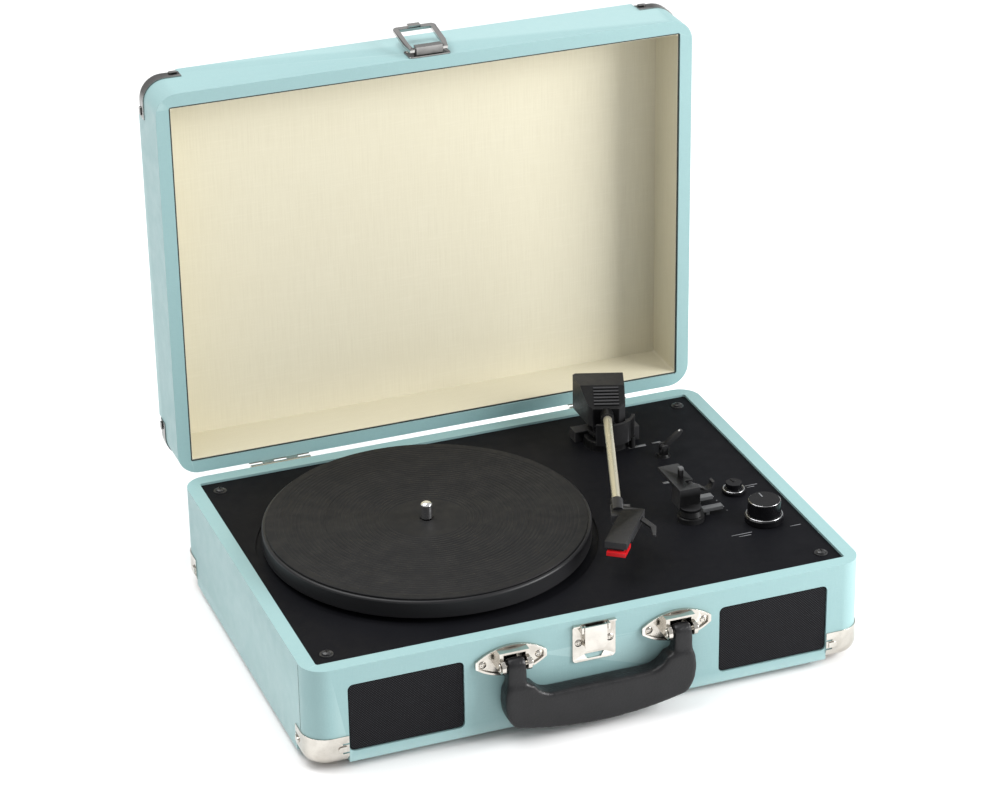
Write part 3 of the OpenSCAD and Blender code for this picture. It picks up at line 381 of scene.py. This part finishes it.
def board_green():
    f = Finish("board_green", (0.02, 0.13, 0.055), 0.35)
    f.tint(f.span(f.bands(2.6, "X", bend=1.5), 0.6, 0.8, 0.0, 0.7), (0.035, 0.2, 0.09))
    f.bump(f.noise(0.6, 2), 0.03, 0.5)
    return f


def knob_ring():
    f = Finish("knob_ring", (0.5, 0.5, 0.51), 0.18, metal=1.0)
    f.tint(f.span(f.noise(2, 2), 0.4, 0.7, 0.0, 0.4), (0.32, 0.32, 0.33))
    f.shine(f.noise(1.5, 2), 0.12, 0.26)
    return f


# Dark finish: painted shade for the strip in the lid's lining gap, and the dark seam where the
# covering's ends meet
def seam_dark_and_gap_shade():
    f = Finish("seam_dark_and_gap_shade", (0.05, 0.055, 0.05), 0.8, specular=0.1)
    f.tint(f.span(f.noise(4, 3), 0.45, 0.7, 0.0, 0.6), (0.1, 0.1, 0.085))
    f.bump(f.noise(0.5, 2), 0.03, 0.5)
    return f


def mark_grey():
    f = Finish("mark_grey", (0.11, 0.112, 0.115), 0.5, specular=0.2)
    f.tint(f.span(f.noise(1.2, 2), 0.45, 0.7, 0.0, 0.6), (0.075, 0.077, 0.08))
    f.bump(f.noise(0.3, 1), 0.02, 0.4)
    return f


def pale_tip():
    f = Finish("pale_tip", (0.5, 0.5, 0.49), 0.4, specular=0.4)
    f.tint(f.span(f.noise(0.8, 2), 0.4, 0.7, 0.0, 0.5), (0.38, 0.38, 0.37))
    f.bump(f.noise(0.3, 1), 0.02, 0.4)
    return f


def print_ink():
    f = Finish("print_ink", (0.17, 0.175, 0.185), 0.6)
    f.tint(f.span(f.noise(0.6, 2), 0.45, 0.7, 0.0, 0.5), (0.12, 0.123, 0.13))
    f.bump(f.noise(0.3, 1), 0.01, 0.4)
    return f


FINISHES = {maker.__name__: maker().material for maker in (
    leatherette, board, foot_rubber, nickel, dark_chrome, grille_cloth, driver_metal,
    deck_black, black_screw, handle_plastic, lining, brass, bright_steel, platter_plastic,
    mat_rubber, belt_rubber, arm_plastic, champagne, stylus_red, knob_gloss, slider_grey,
    board_green, print_ink, pale_tip, knob_ring, seam_dark_and_gap_shade, mark_grey)}


# ---------------------------------------------------------------- carried-over CAD nodes

# Radius of the rounded edges in mm, and how many steps round them
SOFT_EDGE = {
    "base_shell": (1.3, 3), "lid_shell": (0.9, 3), "lid_lining": (0.35, 2),
    "speaker_grille_left": (1.2, 3), "speaker_grille_right": (1.2, 3),
    "deck_plate": (0.4, 2), "base_corner_caps": (0.22, 2), "lid_corner_caps": (0.22, 2),
    "latch_plate": (0.28, 2), "latch_tongue": (0.35, 2), "hasp_loop": (0.5, 3),
    "handle_plate_left": (0.35, 2), "handle_plate_right": (0.35, 2),
    "tonearm_housing": (0.35, 2), "arm_rest_post": (0.4, 2), "headshell": (0.4, 2),
    "platter": (0.5, 2),
}
DEFAULT_EDGE = (0.25, 2)
# Left as meshed: dissolving their faces breaks the inside corners
THIN_SHELLS = ("lid_lining",)


def smooth_faces(obj):
    mesh = obj.data
    if "custom_normal" in mesh.attributes:
        mesh.attributes.remove(mesh.attributes["custom_normal"])
    for face in mesh.polygons:
        face.use_smooth = True


def soften(obj, radius, steps):
    """Small rounded edges on a CAD node, by modifiers alone."""
    smooth_faces(obj)
    weld = obj.modifiers.new("weld", "WELD")
    weld.merge_threshold = 0.004 * MM
    if obj.name not in THIN_SHELLS:
        flat = obj.modifiers.new("flat", "DECIMATE")
        flat.decimate_type = "DISSOLVE"
        flat.angle_limit = math.radians(0.4)
    round_edges(obj, radius, steps)


def round_edges(obj, radius, steps, angle=28.0):
    bevel = obj.modifiers.new("edge", "BEVEL")
    bevel.width = radius * MM
    bevel.segments = steps
    bevel.limit_method = "ANGLE"
    bevel.angle_limit = math.radians(angle)
    bevel.use_clamp_overlap = True
    bevel.miter_outer = "MITER_ARC"
    normals = obj.modifiers.new("normals", "WEIGHTED_NORMAL")
    normals.weight = 100
    normals.keep_sharp = False


def dress_cad_nodes():
    for part in frame["record"]["subparts"]:
        obj = NODES[part["node"]]
        obj.data.materials.clear()
        obj.data.materials.append(FINISHES[part["material_slot"]])
        radius, steps = SOFT_EDGE.get(part["node"], DEFAULT_EDGE)
        soften(obj, radius, steps)


# ---------------------------------------------------------------- pieces made here

def make_piece(name, mesh, finish, body, replaces=()):
    mesh.materials.clear()
    mesh.materials.append(FINISHES[finish])
    for face in mesh.polygons:
        face.use_smooth = True
    obj = bpy.data.objects.new(name, mesh)
    bpy.context.scene.collection.objects.link(obj)
    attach(obj, body)
    if replaces:
        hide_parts(*replaces)
    return obj


def centre_of(node):
    low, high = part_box(node)
    return (low + high) / 2 / MM


def lathe(name, profile, centre, steps=96, closed=False):
    """Turns a profile of (radius, height) in mm round an upright axis."""
    verts, faces = [], []
    for i in range(steps):
        a = 2 * math.pi * i / steps
        for r, z in profile:
            verts.append(((centre[0] + r * math.cos(a)) * MM,
                          (centre[1] + r * math.sin(a)) * MM, z * MM))
    n = len(profile)
    for i in range(steps):
        j = (i + 1) % steps
        for k in range(n if closed else n - 1):
            m = (k + 1) % n
            faces.append((i * n + k, j * n + k, j * n + m, i * n + m))
    mesh = bpy.data.meshes.new(name)
    mesh.from_pydata(verts, [], faces)
    mesh.validate()
    return mesh


def wire_ring(name, centre, radius, wire, z, squash=1.0):
    """A bright ring of round wire, lying flat."""
    profile = [(radius + wire * math.cos(a), z + wire * squash * math.sin(a))
               for a in (math.radians(t) for t in range(0, 360, 30))]
    return lathe(name, profile, centre, 96, closed=True)


def flat_shapes(name, outlines, low, high):
    """Thin printed shapes: each outline in mm is raised from low to high."""
    bm = bmesh.new()
    for outline in outlines:
        under = [bm.verts.new((x * MM, y * MM, low * MM)) for x, y in outline]
        over = [bm.verts.new((x * MM, y * MM, high * MM)) for x, y in outline]
        bm.faces.new(list(reversed(under)))
        bm.faces.new(over)
        for i in range(len(outline)):
            j = (i + 1) % len(outline)
            bm.faces.new((under[i], under[j], over[j], over[i]))
    bmesh.ops.recalc_face_normals(bm, faces=bm.faces)
    mesh = bpy.data.meshes.new(name)
    bm.to_mesh(mesh)
    bm.free()
    return mesh


def bar(x, y, length, width, turn=0.0):
    """Outline of a bar centred on x, y and turned in degrees."""
    c, s = math.cos(math.radians(turn)), math.sin(math.radians(turn))
    corners = ((-1, -1), (1, -1), (1, 1), (-1, 1))
    return [(x + c * a * length / 2 - s * b * width / 2,
             y + s * a * length / 2 + c * b * width / 2) for a, b in corners]


def dot(x, y, radius, sides=16):
    return [(x + radius * math.cos(2 * math.pi * i / sides),
             y + radius * math.sin(2 * math.pi * i / sides)) for i in range(sides)]


# Concentric ribs of the mat, in mm
RIB_PITCH = 2.5
RIB_DEPTH = 0.32
RIB_SLOPE = 0.3
LABEL_RADIUS = 24.0

# Middle of the arm rest's hook, in mm in the row frame
HOOK_PLACE = (101.7, -37.25)


def add_mat():
    low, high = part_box("platter_mat")
    centre = centre_of("platter_mat")
    edge = (high.x - low.x) / 2 / MM
    base, top = low.z / MM, high.z / MM
    hole = 3.8
    profile = [(hole, base), (hole, top - 0.3), (hole + 0.3, top - 0.1), (hole + 0.8, top)]
    r = LABEL_RADIUS
    profile.append((r, top))
    while r < edge - 2 * RIB_PITCH:
        deep = RIB_DEPTH * (1.6 if 60 < r < 60 + RIB_PITCH else 1.0)
        profile += [(r + RIB_SLOPE, top - deep), (r + RIB_SLOPE + 0.5, top - deep),
                    (r + 2 * RIB_SLOPE + 0.5, top), (r + RIB_PITCH, top)]
        r += RIB_PITCH
    profile += [(edge - 0.6, top), (edge - 0.15, top - 0.2), (edge, top - 0.6), (edge, base)]
    mesh = lathe("ribbed_mat", profile, centre, 128, closed=True)
    mat = make_piece("ribbed_mat", mesh, "mat_rubber", "turntable",
                     ["platter_mat"])
    normals = mat.modifiers.new("normals", "WEIGHTED_NORMAL")
    normals.weight = 70


def add_knob_trim():
    volume, function = centre_of("volume_knob"), centre_of("function_knob")
    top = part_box("volume_knob")[1].z / MM
    make_piece("volume_top_ring", wire_ring("volume_top_ring", volume, 9.55, 0.32, top - 0.55),
               "knob_ring", "volume")
    make_piece("volume_foot_ring", wire_ring("volume_foot_ring", volume, 11.0, 0.42,
               DECK + 4.75), "knob_ring", "volume")
    make_piece("function_foot_ring", wire_ring("function_foot_ring", function, 6.5, 0.4,
               DECK + 2.75), "knob_ring", "function")
    pointer = flat_shapes("volume_pointer", [bar(volume.x, volume.y + 5.6, 0.9, 5.0)],
                          top - 0.1, top + 0.05)
    make_piece("volume_pointer", pointer, "print_ink", "volume")


# The printed captions follow the deck's front edge, in degrees
CAPTION_TURN = 0.0


def add_tips():
    """The pale ends of the cue lever and of the hook that holds the parked arm."""
    low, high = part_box("cue_lever")
    tip = Vector((high.x / MM - 1.5, (low.y + high.y) / 2 / MM))
    z = high.z / MM - 1.4
    ball = [(1.35 * math.cos(a), z + 1.35 * math.sin(a))
            for a in (math.radians(t) for t in range(-90, 91, 18))]
    make_piece("lever_tip", lathe("lever_tip", ball, tip, 24), "pale_tip", "lever")
    low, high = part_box("arm_rest_post")
    top = high.z / MM
    x, y = HOOK_PLACE
    mesh = flat_shapes("hook_cap", [bar(x, y, 2.9, 3.3)], top - 1.6, top + 0.15)
    cap = make_piece("hook_cap", mesh, "mark_grey", "case")
    round_edges(cap, 0.3, 2)


def add_deck_print():
    volume, function = centre_of("volume_knob"), centre_of("function_knob")
    speed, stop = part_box("speed_slider"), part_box("autostop_slider")
    # Short rules stand where captions would be, with one mark by each knob
    shapes = [bar(volume.x - 20.0, volume.y - 11.0, 13.5, 0.55, CAPTION_TURN),
              bar(volume.x - 19.0, volume.y - 13.6, 8.0, 0.55, CAPTION_TURN),
              bar(volume.x + 14.9, volume.y - 13.2, 7.0, 0.55, CAPTION_TURN),
              bar(volume.x - 2.0, volume.y + 15.0, 1.7, 0.9),
              bar(function.x + 13.8, function.y + 4.6, 8.5, 0.55, CAPTION_TURN),
              bar(function.x + 12.6, function.y + 2.4, 5.0, 0.55, CAPTION_TURN),
              bar(function.x - 1.0, function.y + 10.6, 1.7, 0.8)]
    for low, high in (speed, stop):
        x = high.x / MM + 3.0
        shapes += [dot(x, low.y / MM + 1.2, 0.4), dot(x, high.y / MM + 2.0, 0.4)]
    mesh = flat_shapes("deck_print", shapes, DECK - 0.05, DECK + 0.04)
    make_piece("deck_print", mesh, "print_ink", "case")
    marks = [bar(108.7, 63.6 - 16.25, 12, 2.5), bar(122.2, 64.1 - 16.25, 6, 1.6),
             bar(106.8, 11.1 - 16.25, 5.5, 2.4)]
    mesh = flat_shapes("deck_marks", marks, DECK - 0.05, DECK + 0.12)
    make_piece("deck_marks", mesh, "mark_grey", "case")


def add_handle():
    """The moulded grip: the CAD form remeshed, then relaxed until its edges are full."""
    source = NODES["handle"]
    mesh = source.data.copy()
    mesh.name = "soft_grip"
    grip = make_piece("soft_grip", mesh, "handle_plastic", "carry_handle",
                      ["handle"])
    smooth_faces(grip)
    remesh = grip.modifiers.new("remesh", "REMESH")
    remesh.mode = "VOXEL"
    remesh.voxel_size = 0.8 * MM
    remesh.use_smooth_shade = True
    relax = grip.modifiers.new("relax", "SMOOTH")
    relax.factor, relax.iterations = 0.5, 60


def frame_strip(name, x0, x1, z0, z1, y0, y1, width):
    """A flat rectangular frame, its opening facing forwards."""
    bm = bmesh.new()
    rings = []
    for inset, y in ((0, y0), (width, y0), (width, y1), (0, y1)):
        rings.append([bm.verts.new((x * MM, y * MM, z * MM)) for x, z in (
            (x0 + inset, z0 + inset), (x1 - inset, z0 + inset),
            (x1 - inset, z1 - inset), (x0 + inset, z1 - inset))])
    for k in range(4):
        a, b = rings[k], rings[(k + 1) % 4]
        for i in range(4):
            j = (i + 1) % 4
            bm.faces.new((a[i], a[j], b[j], b[i]))
    bmesh.ops.recalc_face_normals(bm, faces=bm.faces)
    mesh = bpy.data.meshes.new(name)
    bm.to_mesh(mesh)
    bm.free()
    return mesh


def add_lining_shade_strip():
    """Painted shade: a dark strip where the paper lining ends inside the lid's rim, standing in
    for the shade in that gap.
    """
    low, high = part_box("lid_lining")
    mesh = frame_strip("lining_shade_strip", low.x / MM + 0.1, high.x / MM - 0.1, low.z / MM + 0.1,
                       high.z / MM - 0.1, low.y / MM - 0.3, low.y / MM + 0.2, 0.8)
    make_piece("lining_shade_strip", mesh, "seam_dark_and_gap_shade", "lid")


def add_cover_seams():
    """Where the covering's ends meet on the side of the base, near the front corner."""
    low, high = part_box("base_shell")
    x, y = low.x / MM, low.y / MM + 15.0
    x0, x1 = x - 0.06, x + 0.3
    y0, y1 = y - 0.22, y + 0.22
    z0, z1 = 24, high.z / MM - 1.2
    bm = bmesh.new()
    middle = Vector(((x0 + x1) / 2, (y0 + y1) / 2, (z0 + z1) / 2)) * MM
    extent = Vector(((x1 - x0) * MM, (y1 - y0) * MM, (z1 - z0) * MM, 1))
    bmesh.ops.create_cube(bm, size=1,
                          matrix=Matrix.Translation(middle) @ Matrix.Diagonal(extent))
    mesh = bpy.data.meshes.new("cover_seam")
    bm.to_mesh(mesh)
    bm.free()
    make_piece("cover_seam", mesh, "seam_dark_and_gap_shade", "case")


# ---------------------------------------------------------------- camera, floor and light

def add_camera():
    az, el = math.radians(CAMERA_AZIMUTH), math.radians(CAMERA_ELEVATION)
    roll = math.radians(CAMERA_ROLL)
    back = Vector((math.sin(az) * math.cos(el), -math.cos(az) * math.cos(el), math.sin(el)))
    right = (-back).cross(Vector((0, 0, 1))).normalized()
    up = right.cross(-back)
    side = math.cos(roll) * right + math.sin(roll) * up
    top = math.cos(roll) * up - math.sin(roll) * right
    data = bpy.data.cameras.new("camera")
    data.lens, data.sensor_width = LENS_MM, SENSOR_MM
    data.clip_start, data.clip_end = 0.05, 50
    camera = bpy.data.objects.new("camera", data)
    place = (Vector(CAMERA_TARGET) + back * CAMERA_DISTANCE) * MM
    turn = Matrix((side, top, back)).transposed().to_4x4()
    camera.matrix_world = Matrix.Translation(place) @ turn
    bpy.context.scene.collection.objects.link(camera)
    bpy.context.scene.camera = camera


def add_light(name, place, aim, size, watts):
    data = bpy.data.lights.new(name, "AREA")
    data.shape, data.size, data.energy = "SQUARE", size, watts
    light = bpy.data.objects.new(name, data)
    direction = Vector(aim) - Vector(place)
    turn = direction.to_track_quat("-Z", "Y").to_matrix().to_4x4()
    light.matrix_world = Matrix.Translation(Vector(place)) @ turn
    bpy.context.scene.collection.objects.link(light)


def add_floor():
    f = Finish("floor_paper", (0.86, 0.86, 0.86), 0.75, specular=0.2)
    f.tint(f.span(f.noise(300, 2), 0.3, 0.7), (0.87, 0.87, 0.87))
    mesh = bpy.data.meshes.new("floor")
    half = 4.0
    mesh.from_pydata([(-half, -half, 0), (half, -half, 0), (half, half, 0), (-half, half, 0)],
                     [], [(0, 1, 2, 3)])
    floor = bpy.data.objects.new("floor", mesh)
    mesh.materials.append(f.material)
    bpy.context.scene.collection.objects.link(floor)


def add_world():
    world = bpy.data.worlds.new("studio")
    world.use_nodes = True
    sky = world.node_tree.nodes["Background"]
    sky.inputs["Color"].default_value = (1.0, 1.0, 1.0, 1.0)
    sky.inputs["Strength"].default_value = 0.6
    bpy.context.scene.world = world


def add_studio():
    add_world()
    add_floor()
    add_light("key", KEY_PLACE, (0, 0, 0), KEY_SIZE, KEY_WATTS)
    add_light("front", FRONT_PLACE, FRONT_AIM, FRONT_SIZE, FRONT_WATTS)
    bpy.context.scene.view_settings.view_transform = "Standard"


# ---------------------------------------------------------------- build

dress_cad_nodes()
add_handle()
add_mat()
add_knob_trim()
add_deck_print()
add_tips()
add_lining_shade_strip()
add_cover_seams()
add_camera()
add_studio()
